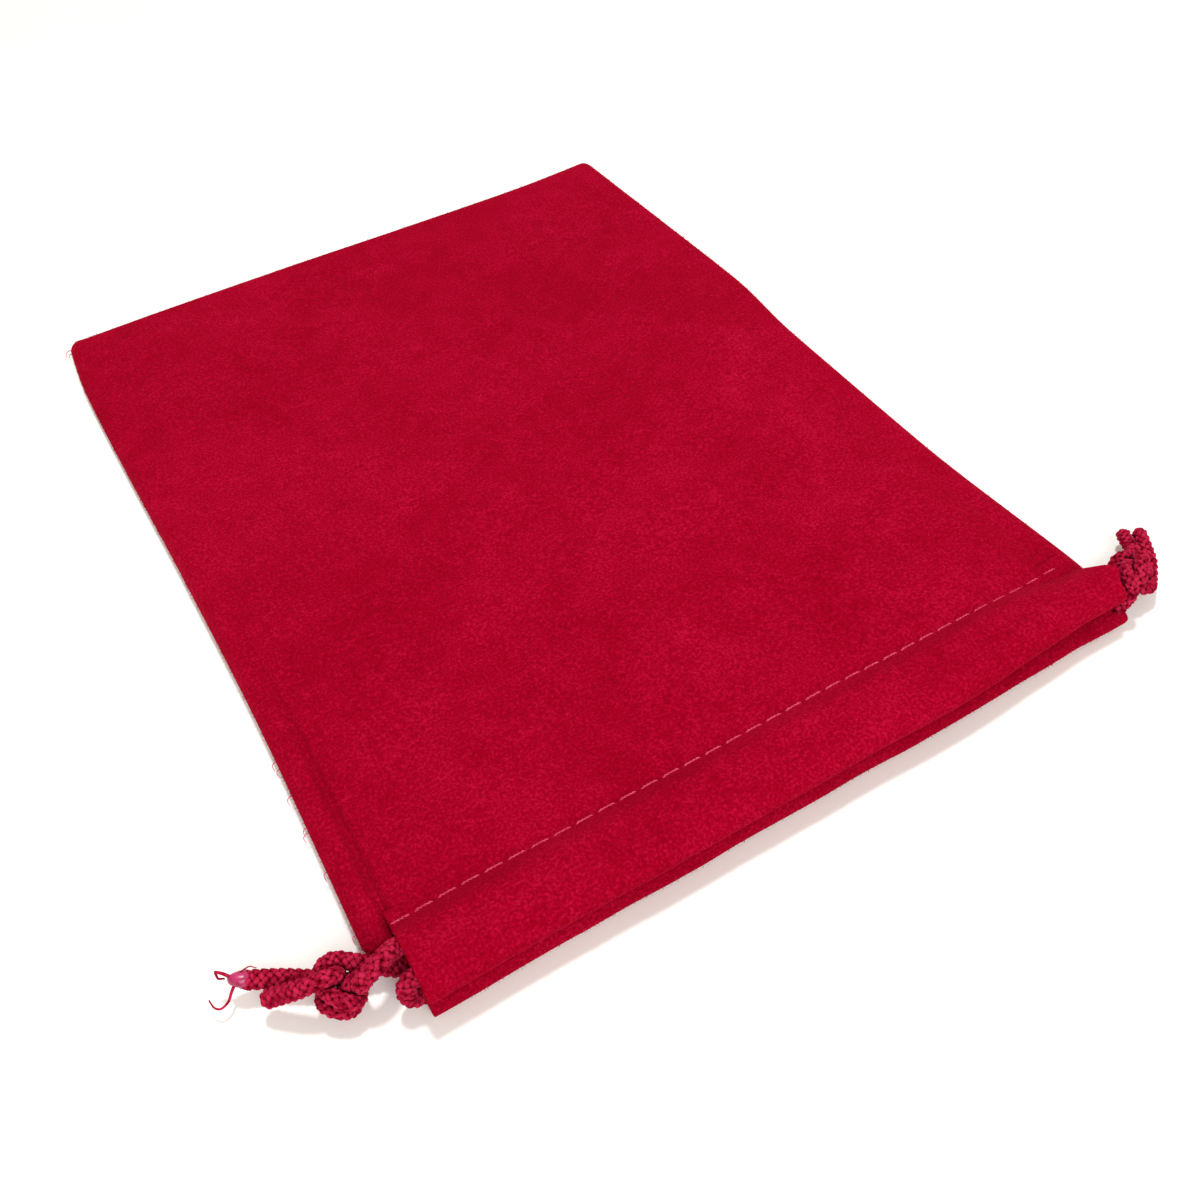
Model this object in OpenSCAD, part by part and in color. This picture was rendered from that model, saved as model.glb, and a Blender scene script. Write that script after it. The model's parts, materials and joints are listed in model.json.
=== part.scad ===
// Velvet drawstring gift sack, lying flat and empty on its back.
// The origin is on the surface under the middle of the bag. +X is to the right across the mouth,
// the mouth faces -Y and the closed end +Y. Lengths are in millimetres.

/* [Bag] */
// Width of the bag, side edge to side edge
bag_w = 127; // [115:1:150]
// Length of the bag, mouth edge to closed end
bag_l = 178; // [150:1:220]
// Thickness of the velvet with its pile
cloth_t = 0.8; // [0.6:0.1:1]
// Height of the space between the two panels
cavity_h = 4.5; // [4.4:0.1:4.8]

/* [Drawstring channels] */
// Depth of each channel, mouth edge to stitch line
channel_depth = 14.5; // [14:0.5:18]
// Height of the room inside a channel
channel_room = 3.4; // [3.2:0.1:3.4]
// Thickness of a channel's pressed wall
channel_wall = 0.5; // [0.4:0.1:0.5]
// How far both channels stop short of the left side edge
left_inset = 4.5; // [4:0.5:8]
// How far both channels stop short of the right side edge
right_inset = 2.5; // [2:0.5:8]

/* [Seams and thread] */
// Width of the two raw edges turned in along each side seam
allowance_w = 6; // [4:0.5:8]
// Thickness of those two pressed edges together
allowance_t = 1.5; // [1.2:0.1:1.6]
// Diameter of the sewing thread
thread_d = 0.4; // [0.3:0.1:0.4]
// Length of one stitch, hole to hole
stitch_pitch = 3.6; // [3:0.1:4]
// Gap of cloth between two visible stitches
stitch_gap = 0.7; // [0.5:0.1:1]

/* [Drawcords] */
// Diameter of the braided cord
cord_d = 2.8; // [2.4:0.1:2.8]
// Radius of an overhand knot in the doubled cord
knot_r = 4.4; // [4:0.1:4.6]
// Length of an overhand knot along the cord
knot_l = 6.8; // [6:0.1:7]

/* [Hidden] */
$fn = 48;
eps = 0.01;
velvet = "#a8002b";
velvet_deep = "#8a0015";
cord_red = "#a01038";
thread_pink = "#d8405c";

half_w = bag_w / 2;
half_l = bag_l / 2;
// Gap between the still half of the bag and the half that lifts
lift_gap = 0.3;
// The sides and the closed end are half rounds as tall as the bag
fold_r = cloth_t + cavity_h / 2;
front_z = cloth_t + cavity_h;
stitch_y = -half_l + channel_depth;
panel_end_y = half_l - fold_r;
panel_side_x = half_w - fold_r;
channel_h = channel_room + 2 * channel_wall;
channel_left = -half_w + left_inset;
channel_right = half_w - right_inset;
// Solid cloth that closes a channel along its stitch line
channel_close = 1.2;
// Distance of the stitching from the channel's edge, on the panel
stitch_set = 1;
groove = thread_d + 0.1;
// Middle heights of a cord in the back and the front channel
cord_back_z = channel_h / 2;
cord_front_z = front_z + channel_h / 2;

// The routes run from the knot, through the front channel, round the far channel ends and home
// through the back channel. Ends are given from the channel ends, the rest as places.
left_lane = -half_l + 9.4;
right_lane = -half_l + 4.2;
left_route = [
    [channel_left - 6.2, left_lane + 0.4, 6.4],
    [channel_left - 3.6, left_lane - 0.2, 7.1],
    [channel_left - 1, left_lane, 7.4],
    [channel_left + 2, left_lane, cord_front_z],
    [0, left_lane, cord_front_z],
    [channel_right - 1, left_lane, cord_front_z],
    [channel_right + 1, left_lane, 7.1],
    [channel_right + 1.9, left_lane, 6.1],
    [channel_right + 2.1, left_lane, 4.8],
    [channel_right + 1.9, left_lane, 3.5],
    [channel_right + 1, left_lane, 2.6],
    [channel_right - 1, left_lane, cord_back_z],
    [0, left_lane, cord_back_z],
    [channel_left + 2, left_lane, cord_back_z],
    [channel_left - 1, left_lane, 2.2],
    [channel_left - 3.6, left_lane - 0.4, 2.4],
    [channel_left - 6.2, left_lane - 0.2, 3.2]
];
right_route = [
    [channel_right + 5.6, right_lane + 0.6, 6.4],
    [channel_right + 3.4, right_lane + 0.2, 7.1],
    [channel_right + 1, right_lane, 7.4],
    [channel_right - 2, right_lane, cord_front_z],
    [0, right_lane, cord_front_z],
    [channel_left + 1, right_lane, cord_front_z],
    [channel_left - 1, right_lane, 7.1],
    [channel_left - 1.9, right_lane, 6.1],
    [channel_left - 2.1, right_lane, 4.8],
    [channel_left - 1.9, right_lane, 3.5],
    [channel_left - 1, right_lane, 2.6],
    [channel_left + 1, right_lane, cord_back_z],
    [0, right_lane, cord_back_z],
    [channel_right - 2, right_lane, cord_back_z],
    [channel_right + 1, right_lane, 2.2],
    [channel_right + 3.4, right_lane, 2.4],
    [channel_right + 5.6, right_lane + 0.2, 3.2]
];
left_knot_at = [channel_left - 9.6, left_lane + 0.6, knot_r];
right_knot_at = [channel_right + 9.4, right_lane + 1.8, knot_r];
// Turn of each knot about the vertical
left_knot_turn = -20;
right_knot_turn = 20;
// The tails leave the knots and come to rest on the surface, measured from a channel's mouth corner
left_corner = [channel_left, -half_l, 0];
right_corner = [channel_right, -half_l, 0];
left_tail_routes = [
    from(left_corner, [[-12.4, 12.2, 4.4], [-14.4, 14, 3.6], [-17.4, 17, 2.2], [-20, 19.8, 1.5]]),
    from(left_corner, [[-12.6, 9.6, 2.9], [-14.4, 10.8, 2], [-16.4, 12, 1.5], [-18.2, 13.4, 1.5]])
];
right_tail_routes = [
    from(right_corner, [[12, 6.4, 3.4], [14, 8.4, 2.2], [15.8, 10.8, 1.5], [17.2, 13.4, 1.5]]),
    from(right_corner, [[10.4, 8.8, 4.4], [12.2, 10.8, 3.4], [13.8, 13.2, 2.2], [15, 16, 1.5]])
];
cord_sides = 8;

// The same places, measured from base
function from(base, places) = [for (p = places) base + p];

// Unit vector along v
function unit(v) = v / norm(v);
// Direction of the route at point i
function heading(route, i) =
    unit(route[min(i + 1, len(route) - 1)] - route[max(i - 1, 0)]);
// One ring of the tube; the cords never run along Y, so Y serves as the reference
function ring(route, i, r) =
    let (
        along = heading(route, i),
        side = unit(cross(along, [0, 1, 0])),
        up = cross(side, along)
    )
    [for (k = [0 : cord_sides - 1])
        let (a = 360 * k / cord_sides)
        route[i] + r * (cos(a) * side + sin(a) * up)];
function wall_faces(rings) =
    [for (i = [0 : rings - 2], k = [0 : cord_sides - 1])
        let (
            n = (k + 1) % cord_sides,
            a = i * cord_sides,
            b = a + cord_sides
        )
        each [[a + k, b + k, b + n], [a + k, b + n, a + n]]];
function cap(first, flip) =
    [for (k = [0 : cord_sides - 1])
        first + (flip ? cord_sides - 1 - k : k)];

// A cord of round section swept along a route
module cord(route) {
    rings = len(route);
    points = [for (i = [0 : rings - 1]) each ring(route, i, cord_d / 2)];
    faces = concat(
        wall_faces(rings),
        [cap(0, false), cap((rings - 1) * cord_sides, true)]
    );
    polyhedron(points, faces, convexity = 8);
}

// Half round of cloth that opens towards -X, in the XY plane
module half_round() {
    difference() {
        circle(fold_r);
        circle(fold_r - cloth_t);
        translate([-2 * fold_r, -fold_r])
            square([2 * fold_r, 2 * fold_r]);
    }
}

module closed_end_fold() {
    color(velvet)
        translate([-panel_side_x, panel_end_y, fold_r])
            rotate([90, 0, 90])
                linear_extrude(2 * panel_side_x)
                    half_round();
}

// Right-hand side; the left one is its mirror image
module side_fold() {
    length = panel_end_y - stitch_y;
    color(velvet) {
        translate([panel_side_x, panel_end_y, fold_r])
            rotate([90, 0, 0])
                linear_extrude(length)
                    half_round();
        translate([panel_side_x, panel_end_y, fold_r])
            rotate_extrude(angle = 90)
                half_round();
    }
}

module right_side_fold() {
    side_fold();
}

module left_side_fold() {
    mirror([1, 0, 0])
        side_fold();
}

module back_panel() {
    color(velvet)
        difference() {
            translate([-panel_side_x, stitch_y, 0])
                cube([2 * panel_side_x, panel_end_y - stitch_y, cloth_t]);
            translate([channel_left, stitch_y + stitch_set - groove / 2, -eps])
                cube([channel_right - channel_left, groove, groove + eps]);
        }
}

module front_panel() {
    side = panel_side_x - lift_gap;
    color(velvet)
        translate([-side, stitch_y, front_z])
            cube([2 * side, panel_end_y - lift_gap - stitch_y, cloth_t]);
}

// Outline of a channel across the cord, mouth edge to the left
module channel_outline(height, depth) {
    r = height / 2;
    translate([r, 0])
        circle(r);
    translate([r, -r])
        square([depth - r, height]);
}

module channel() {
    color(velvet)
        translate([channel_left, -half_l, channel_h / 2])
            rotate([90, 0, 90])
                linear_extrude(channel_right - channel_left)
                    difference() {
                        channel_outline(channel_h, channel_depth);
                        translate([channel_wall, 0])
                            channel_outline(
                                channel_room,
                                channel_depth - channel_wall - channel_close
                            );
                    }
}

module back_channel() {
    channel();
}

module front_channel() {
    translate([0, 0, front_z])
        channel();
}

// A straight row of stitches from the origin along +X
module stitch_row(length) {
    count = floor(length / stitch_pitch);
    for (i = [0 : count - 1])
        translate([(i + 0.5) * stitch_pitch, 0, 0])
            rotate([0, 90, 0])
                cylinder(
                    h = stitch_pitch - stitch_gap,
                    d = thread_d,
                    center = true,
                    $fn = 24
                );
}

module front_channel_stitching() {
    color(thread_pink)
        translate([channel_left, stitch_y + stitch_set, front_z + cloth_t + thread_d / 2])
            stitch_row(channel_right - channel_left);
}

module back_channel_stitching() {
    color(thread_pink)
        translate([channel_left, stitch_y + stitch_set, thread_d / 2])
            stitch_row(channel_right - channel_left);
}

// The two raw edges of the right side seam, turned in between the panels
module seam_allowance() {
    inner_r = fold_r - cloth_t;
    // The strip starts clear of the round side at its own half thickness
    start = panel_side_x + sqrt(inner_r * inner_r - allowance_t * allowance_t / 4);
    color(velvet_deep)
        translate([start - allowance_w, stitch_y, fold_r - allowance_t / 2])
            cube([allowance_w, panel_end_y - stitch_y, allowance_t]);
}

module right_seam_allowance() {
    seam_allowance();
}

module left_seam_allowance() {
    mirror([1, 0, 0])
        seam_allowance();
}

// Lockstitch along the right side seam, seen on both faces of the turned-in edges
module seam_stitching() {
    color(thread_pink)
        for (face = [-1, 1])
            translate([
                panel_side_x + 0.8,
                stitch_y,
                fold_r + face * (allowance_t + thread_d) / 2
            ])
                rotate([0, 0, 90])
                    stitch_row(panel_end_y - stitch_y);
}

module right_seam_stitching() {
    seam_stitching();
}

module left_seam_stitching() {
    mirror([1, 0, 0])
        seam_stitching();
}

module left_drawcord() {
    color(cord_red)
        cord(left_route);
}

module right_drawcord() {
    color(cord_red)
        cord(right_route);
}

// Outer shape of an overhand knot tied in both legs, its axis along X
module knot(place, turn) {
    // Radius of the knot's rounded shoulders
    edge = 1.9;
    square_h = knot_l - 2 * edge;
    color(cord_red)
        translate(place)
            rotate([0, 90, turn])
                rotate_extrude() {
                    translate([0, -knot_l / 2])
                        square([knot_r - edge, knot_l]);
                    translate([0, -square_h / 2])
                        square([knot_r, square_h]);
                    for (end = [-1, 1])
                        translate([knot_r - edge, end * square_h / 2])
                            circle(edge);
                }
}

module left_knot() {
    knot(left_knot_at, left_knot_turn);
}

module right_knot() {
    knot(right_knot_at, right_knot_turn);
}

module left_cord_tails() {
    color(cord_red)
        for (route = left_tail_routes)
            cord(route);
}

module right_cord_tails() {
    color(cord_red)
        for (route = right_tail_routes)
            cord(route);
}

back_panel();
front_panel();
closed_end_fold();
left_side_fold();
right_side_fold();
left_seam_allowance();
right_seam_allowance();
left_seam_stitching();
right_seam_stitching();
back_channel();
front_channel();
back_channel_stitching();
front_channel_stitching();
left_drawcord();
right_drawcord();
left_knot();
right_knot();
left_cord_tails();
right_cord_tails();
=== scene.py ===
# %% [markdown]
# # A velvet drawstring gift sack
#
# A small pouch of crimson flocked velvet lies flat and empty on a pale table. Its cloth is one
# strip, folded at the closed end and sewn up both sides. Each half of the mouth is turned over
# into a channel, and two braided cords run through both channels, one knotted at each side.
# The plan works in millimetres, as a sewing plan does, and turns to metres when a mesh is made.
# The frame gives the sizes of the model that moves, so nothing here is measured twice.

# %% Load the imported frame
import json
import math
import random
import bpy
import bmesh
import numpy as np
from mathutils import Matrix, Vector, noise
from mathutils.bvhtree import BVHTree
from mathutils.kdtree import KDTree

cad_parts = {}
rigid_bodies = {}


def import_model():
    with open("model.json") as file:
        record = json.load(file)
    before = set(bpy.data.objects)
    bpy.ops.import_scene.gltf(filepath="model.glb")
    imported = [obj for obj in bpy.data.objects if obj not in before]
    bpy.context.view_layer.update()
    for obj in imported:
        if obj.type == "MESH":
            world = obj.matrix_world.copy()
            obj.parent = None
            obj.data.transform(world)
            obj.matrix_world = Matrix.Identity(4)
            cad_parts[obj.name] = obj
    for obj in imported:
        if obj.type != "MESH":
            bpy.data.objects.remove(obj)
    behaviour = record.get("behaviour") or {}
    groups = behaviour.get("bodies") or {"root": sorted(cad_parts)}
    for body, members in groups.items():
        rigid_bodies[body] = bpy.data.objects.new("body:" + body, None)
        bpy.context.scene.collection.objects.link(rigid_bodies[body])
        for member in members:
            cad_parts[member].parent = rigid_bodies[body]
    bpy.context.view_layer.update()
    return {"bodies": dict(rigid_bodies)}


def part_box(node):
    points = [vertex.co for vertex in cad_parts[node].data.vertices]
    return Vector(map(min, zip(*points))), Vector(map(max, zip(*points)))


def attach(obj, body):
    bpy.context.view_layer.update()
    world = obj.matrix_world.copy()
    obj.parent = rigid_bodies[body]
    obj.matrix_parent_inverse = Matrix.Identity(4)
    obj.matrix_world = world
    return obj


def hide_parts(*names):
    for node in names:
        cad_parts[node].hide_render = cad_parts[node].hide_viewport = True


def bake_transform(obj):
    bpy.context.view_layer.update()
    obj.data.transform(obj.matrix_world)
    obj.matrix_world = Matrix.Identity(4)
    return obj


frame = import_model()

MM = 0.001

# %% Read the bag's own sizes from the frame
def low(node, axis):
    """Lowest place of a node along an axis, in millimetres."""
    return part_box(node)[0]["xyz".index(axis)] / MM


def high(node, axis):
    """Highest place of a node along an axis, in millimetres."""
    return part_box(node)[1]["xyz".index(axis)] / MM


half_width = high("right_side_fold", "x")
closed_y = high("closed_end_fold", "y")
mouth_y = low("front_channel", "y")
stitch_y = high("front_channel", "y")
sleeve_left = low("front_channel", "x")
sleeve_right = high("front_channel", "x")
sleeve_top = high("front_channel", "z")
back_sleeve_top = high("back_channel", "z")
print(f"bag {2 * half_width:.0f} x {closed_y - mouth_y:.0f} mm")
print(f"sleeves from {sleeve_left:.0f} to {sleeve_right:.0f} mm")

# %% [markdown]
# ## The camera
#
# The view is that of someone in front of the mouth and a little to its left, holding a small
# camera close above the bag and tipped a few degrees. A lens this near the object makes the
# mouth look much wider than the closed end, so the distance matters as much as the angle.

# %% Place the camera
CAMERA_TURN = math.radians(-25)
CAMERA_HEIGHT = math.radians(48)
CAMERA_TIP = math.radians(-6.4)
CAMERA_AWAY = 215.1
CAMERA_AIM = Vector((-3.6, -35.2, 0))

camera_back = Vector((
    math.sin(CAMERA_TURN) * math.cos(CAMERA_HEIGHT),
    -math.cos(CAMERA_TURN) * math.cos(CAMERA_HEIGHT),
    math.sin(CAMERA_HEIGHT),
))
level_right = Vector((0, 0, 1)).cross(camera_back).normalized()
level_up = camera_back.cross(level_right)
camera_right = level_right * math.cos(CAMERA_TIP) + level_up * math.sin(CAMERA_TIP)
camera_up = camera_back.cross(camera_right)

camera_data = bpy.data.cameras.new("camera")
camera_data.lens = 38.03
camera_data.sensor_width = 36
camera_data.clip_start = 0.01
camera = bpy.data.objects.new("camera", camera_data)
bpy.context.scene.collection.objects.link(camera)
turn = Matrix((camera_right, camera_up, camera_back)).transposed().to_4x4()
camera.matrix_world = Matrix.Translation((CAMERA_AIM + camera_back * CAMERA_AWAY) * MM) @ turn
bpy.context.scene.camera = camera
print("camera at", [round(x / MM) for x in camera.location], "mm")

# %% [markdown]
# ## Lines and tubes
#
# Cords, threads and pile are all tubes along a line. A line is a few listed places, and
# a smooth line is drawn through them. Bezier curves could do that, but a braid needs to know the
# length along the line and two steady side directions, so the lines are worked out as points.

# %% A smooth line through chosen places
def length_along(line):
    """Distance from the start of a line to each of its points."""
    return np.r_[0, np.cumsum(np.linalg.norm(np.diff(line, axis=0), axis=1))]


def smooth_line(places, count):
    """A line of evenly spaced points that passes smoothly through the places, with no overshoot."""
    places = np.array(places, float)
    at_place = length_along(places)
    span = np.diff(at_place)
    slope = np.diff(places, axis=0) / span[:, None]
    before, after = slope[:-1], slope[1:]
    together = before * after > 0
    total = np.where(together, before + after, 1)
    middle = np.where(together, 2 * before * after / total, 0)
    heading = np.vstack([slope[:1], middle, slope[-1:]])
    fine = np.linspace(0, at_place[-1], 40 * len(places))
    k = np.clip(np.searchsorted(at_place, fine, side="right") - 1, 0, len(span) - 1)
    f = ((fine - at_place[k]) / span[k])[:, None]
    wide = span[k][:, None]
    line = (
        (2 * f**3 - 3 * f**2 + 1) * places[k]
        + (f**3 - 2 * f**2 + f) * wide * heading[k]
        + (3 * f**2 - 2 * f**3) * places[k + 1]
        + (f**3 - f**2) * wide * heading[k + 1]
    )
    return spaced(line, count)


def spaced(line, stops):
    """The same line at new stops: a number of even points, or the distances along it."""
    at = length_along(line)
    if np.isscalar(stops):
        stops = np.linspace(0, at[-1], stops)
    return np.stack([np.interp(stops, at, line[:, axis]) for axis in range(line.shape[1])], 1)


# %% Directions across a line
def unit(vectors):
    """The same vectors with length one."""
    return vectors / np.maximum(np.linalg.norm(vectors, axis=-1, keepdims=True), 1e-9)


def directions(line):
    """Forward, side and up at each point of a line, turning no more than the line turns."""
    forward = unit(np.gradient(line, axis=0))
    side = np.zeros_like(line)
    side[0] = unit(np.cross(forward[0], (0.3, 0.2, 0.93)))
    for i in range(1, len(line)):
        side[i] = unit(side[i - 1] - forward[i] * np.dot(side[i - 1], forward[i]))
    return forward, side, np.cross(forward, side)


# %% Collect tubes into one mesh
class Maker:
    """Gathers points and faces in millimetres, and makes one mesh object of them in metres."""

    def __init__(self):
        self.points = []
        self.faces = []
        self.count = 0

    def add(self, points, faces):
        """Adds points, and faces numbered from the first of them."""
        self.points.append(np.asarray(points, float))
        self.faces += [[i + self.count for i in face] for face in faces]
        self.count += len(points)

    def tube(self, line, across, over, wide, thick, sides=6):
        """A closed tube along a line, wide along its across direction and thick along over."""
        angles = np.arange(sides) * 2 * math.pi / sides
        wide, thick = np.broadcast_to(wide, len(line)), np.broadcast_to(thick, len(line))
        ring = (
            across[:, None] * (np.cos(angles)[None, :] * wide[:, None])[..., None]
            + over[:, None] * (np.sin(angles)[None, :] * thick[:, None])[..., None]
        )
        points = (line[:, None] + ring).reshape(-1, 3)
        faces = []
        for i in range(len(line) - 1):
            for j in range(sides):
                k = (j + 1) % sides
                faces.append((i * sides + j, i * sides + k, (i + 1) * sides + k, (i + 1) * sides + j))
        faces.append(tuple(range(sides))[::-1])
        faces.append(tuple((len(line) - 1) * sides + j for j in range(sides)))
        self.add(points, faces)

    def make(self, name):
        """The mesh object, smooth shaded, in metres."""
        mesh = bpy.data.meshes.new(name)
        mesh.from_pydata((np.vstack(self.points) * MM).tolist(), [], self.faces)
        mesh.validate()
        mesh.shade_smooth()
        piece = bpy.data.objects.new(name, mesh)
        bpy.context.scene.collection.objects.link(piece)
        return piece


# %% Values kept on a mesh
def store(piece, name, values):
    """Keeps a value for each point on the mesh."""
    kind = "FLOAT" if values.ndim == 1 else "FLOAT_VECTOR"
    field = "value" if values.ndim == 1 else "vector"
    attribute = piece.data.attributes.new(name, kind, "POINT")
    attribute.data.foreach_set(field, values.astype(np.float32).ravel())


def points_of(piece):
    """The points of a mesh in millimetres."""
    points = np.zeros(len(piece.data.vertices) * 3)
    piece.data.vertices.foreach_get("co", points)
    return points.reshape(-1, 3) / MM


# %% [markdown]
# ## Where the cords run
#
# A drawstring pouch has two loops of cord. Each runs through the front channel, round the far
# end, home through the back channel, and both its ends are knotted together where it comes out.
# Pulling the two knots apart gathers the mouth. The runs below are those of the moving model. Only
# the turn at the far end of each loop is drawn tighter, as it lies after the knot has been pulled.

# %% The two loops
cord_thick = 2.8
front_height = 7.5
back_height = 2.2
left_lane = mouth_y + 9.4
right_lane = mouth_y + 4.2
left_loop = [
    (sleeve_left - 1, left_lane, 7.4),
    (sleeve_left + 2, left_lane, front_height),
    (0, left_lane, front_height),
    (sleeve_right - 14, left_lane, front_height),
    (sleeve_right - 1, left_lane, 6.5),
    (sleeve_right + 0.8, left_lane, 6.2),
    (sleeve_right + 1.4, left_lane, 5.6),
    (sleeve_right + 1.7, left_lane, 4.8),
    (sleeve_right + 1.5, left_lane, 3.5),
    (sleeve_right + 1, left_lane, 2.6),
    (sleeve_right - 1, left_lane, back_height),
    (0, left_lane, back_height),
    (sleeve_left + 2, left_lane, back_height),
    (sleeve_left - 1, left_lane, 2.2),
]
right_loop = [
    (sleeve_right + 1, right_lane, 7.4),
    (sleeve_right - 2, right_lane, front_height),
    (0, right_lane, front_height),
    (sleeve_left + 1, right_lane, front_height),
    (sleeve_left - 1, right_lane, 7.1),
    (sleeve_left - 1.5, right_lane, 6.1),
    (sleeve_left - 1.7, right_lane, 4.8),
    (sleeve_left - 1.5, right_lane, 3.5),
    (sleeve_left - 1, right_lane, 2.6),
    (sleeve_left + 1, right_lane, back_height),
    (0, right_lane, back_height),
    (sleeve_right - 2, right_lane, back_height),
    (sleeve_right + 1, right_lane, 2.2),
]

# %% [markdown]
# ## Tying the knots
#
# Each knot is an overhand knot tied in both legs at once. Drawing such a knot by hand gives
# strands that run through one another, so it is tied the way a hand ties it. It starts as a
# large loose overhand shape in both strands. Then the cord is made shorter little by little, with
# a gentle grip round the knot as from finger and thumb, while every stretch of it pushes away
# what comes closer than its thickness, until it is snug.

# %% The loose shape of an overhand knot
def loose_overhand(points, size, rise):
    """An open overhand knot, a well known polynomial curve, with both ends along X."""
    t = np.linspace(-2, 2, points)
    return np.stack([size * (t**3 - 3 * t), size * (t**4 - 4 * t**2 + 2), rise * (t**5 - 10 * t)], 1)


def pair_of_strands(starts, ends, centre, turn):
    """The two strands of the open knot, each led from where it starts to where it ends."""
    core = loose_overhand(60, size=2.6, rise=1.1)
    c, s = math.cos(turn), math.sin(turn)
    core = core @ np.array([[c, -s, 0], [s, c, 0], [0, 0, 1]]).T + centre
    side = directions(core)[1]
    strands = []
    for start, end, way in zip(starts, ends, (-1, 1)):
        strand = core + way * side * 1.15
        if np.linalg.norm(strand[0] - start) > np.linalg.norm(strand[-1] - start):
            strand = strand[::-1]
        lead_in = np.linspace(start, strand[0], 12)[:-1]
        lead_out = np.linspace(strand[-1], end, 12)[1:]
        strands.append(spaced(np.vstack([lead_in, strand, lead_out]), KNOT_POINTS))
    return np.array(strands)


# %% Draw the knot tight
KNOT_POINTS = 84
KNOT_ROUNDS = 1200
SNUG = 2.3
GRIP = 0.02


def shorten(strand, rest, start, end):
    """Pulls neighbours to their resting distance, and holds the two ends."""
    for _ in range(3):
        step = np.diff(strand, axis=0)
        long = np.linalg.norm(step, axis=1)[:, None]
        pull = 0.45 * (long - rest) / long * step
        strand[:-1] += pull
        strand[1:] -= pull
        strand[0], strand[-1] = start, end
    strand[1:-1] += 0.25 * (0.5 * (strand[2:] + strand[:-2]) - strand[1:-1])


def push_apart(points, number, strand, spacing):
    """Moves every pair of points that is too close apart, unless they are near on one strand."""
    between = points[:, None] - points[None]
    away = np.linalg.norm(between, axis=2) + 1e-9
    neighbours = (strand[:, None] == strand[None]) & (
        np.abs(number[:, None] - number[None]) * spacing < SNUG * 1.6
    )
    touching = (away < SNUG) & ~neighbours
    push = np.where(touching, (SNUG - away) / away, 0)[..., None] * between
    share = np.clip(touching.sum(1), 1, 3)[:, None]
    return points + 0.5 * push.sum(1) / share


def tie(starts, ends, centre, turn, lengths):
    """Both strands of a snug overhand knot, resting on the table."""
    starts, ends, centre = np.array(starts, float), np.array(ends, float), np.array(centre, float)
    strands = pair_of_strands(starts, ends, centre, turn)
    loose = [length_along(s)[-1] for s in strands]
    number = np.tile(np.arange(KNOT_POINTS), 2)
    strand_of = np.repeat([0, 1], KNOT_POINTS)
    middling = (np.sin(math.pi * number / (KNOT_POINTS - 1)) ** 2)[:, None]
    for turn_number in range(KNOT_ROUNDS):
        drawn = min(1, turn_number / (KNOT_ROUNDS * 0.75))
        for k in (0, 1):
            goal = (1 - drawn) * loose[k] + drawn * lengths[k]
            shorten(strands[k], goal / (KNOT_POINTS - 1), starts[k], ends[k])
        spacing = ((1 - drawn) * loose[0] + drawn * lengths[0]) / (KNOT_POINTS - 1)
        points = push_apart(strands.reshape(-1, 3), number, strand_of, spacing)
        points[:, 2] = np.maximum(points[:, 2], 1.25)
        middle = (points * middling).sum(0) / middling.sum()
        points += middling * (centre - middle) * 0.05
        points += middling**3 * (centre - points) * GRIP * drawn
        strands = points.reshape(2, -1, 3)
        strands[:, 0], strands[:, -1] = starts, ends
    return strands


# %% Tie both knots
left_strands = tie(
    starts=[left_loop[0], left_loop[-1]],
    ends=[(-79.6, -70.6, 3.8), (-77.5, -74.9, 3.4)],
    centre=(-68.3, -79.7, 4.3),
    turn=math.radians(270),
    lengths=(46, 44),
)
right_strands = tie(
    starts=[right_loop[0], right_loop[-1]],
    ends=[(77.6, -74.4, 4.2), (76.4, -72.8, 3.2)],
    centre=(69.6, -81.9, 4.7),
    turn=math.radians(180),
    lengths=(41, 41),
)
for name, strands in (("left", left_strands), ("right", right_strands)):
    print(name, "knot strands", [round(float(length_along(s)[-1]), 1) for s in strands], "mm")


# %% Each whole cord as one line
def whole_cord(strands, loop):
    """One line from the first free end, through the knot and round the loop, to the other end."""
    lane = smooth_line(loop, 900)
    return np.vstack([strands[0][::-1], lane[1:-1], strands[1]])


left_line = whole_cord(left_strands, left_loop)
right_line = whole_cord(right_strands, right_loop)

# %% [markdown]
# ## Braiding the cords
#
# The cord is a round braid of rayon. Five yarns wind one way and five the other, and each
# goes over one crossing and under the next. A rope texture on a plain tube would look flat so
# close, so every yarn is a tube of its own that swings outward where it goes over. Inside the
# knot the cord is squeezed thinner, to half the room that it has there.

# %% How thick the cord is along its length
YARNS = 5
BRAID_PITCH = 5.8


def soft_step(t):
    """From 0 to 1, starting and ending level."""
    t = np.clip(t, 0, 1)
    return t * t * (3 - 2 * t)


def squeezed(line):
    """Radius of the cord at each point, smaller where another stretch of cord presses on it."""
    at = length_along(line)
    every = spaced(line, np.arange(0, at[-1], 0.5))
    own = np.arange(0, at[-1], 0.5)
    away = np.linalg.norm(every[:, None] - every[None], axis=2)
    away[np.abs(own[:, None] - own[None]) < 4.5] = 9
    room = np.clip(away.min(1) / 2 * 1.06, 1.0, cord_thick / 2)
    for _ in range(3):
        room[1:-1] = (room[:-2] + room[1:-1] + room[2:]) / 3
    return lambda stops: np.interp(stops, own, room)


def fine_stops(line):
    """Stops close together where the cord shows, and further apart inside the sleeves."""
    at = length_along(line)
    inside = (line[:, 0] > sleeve_left + 4) & (line[:, 0] < sleeve_right - 4)
    stops, here = [0.0], 0.0
    while here < at[-1]:
        here += 0.6 if np.interp(here, at, inside.astype(float)) > 0.5 else 0.2
        stops.append(min(here, at[-1]))
    return np.array(stops)


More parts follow.
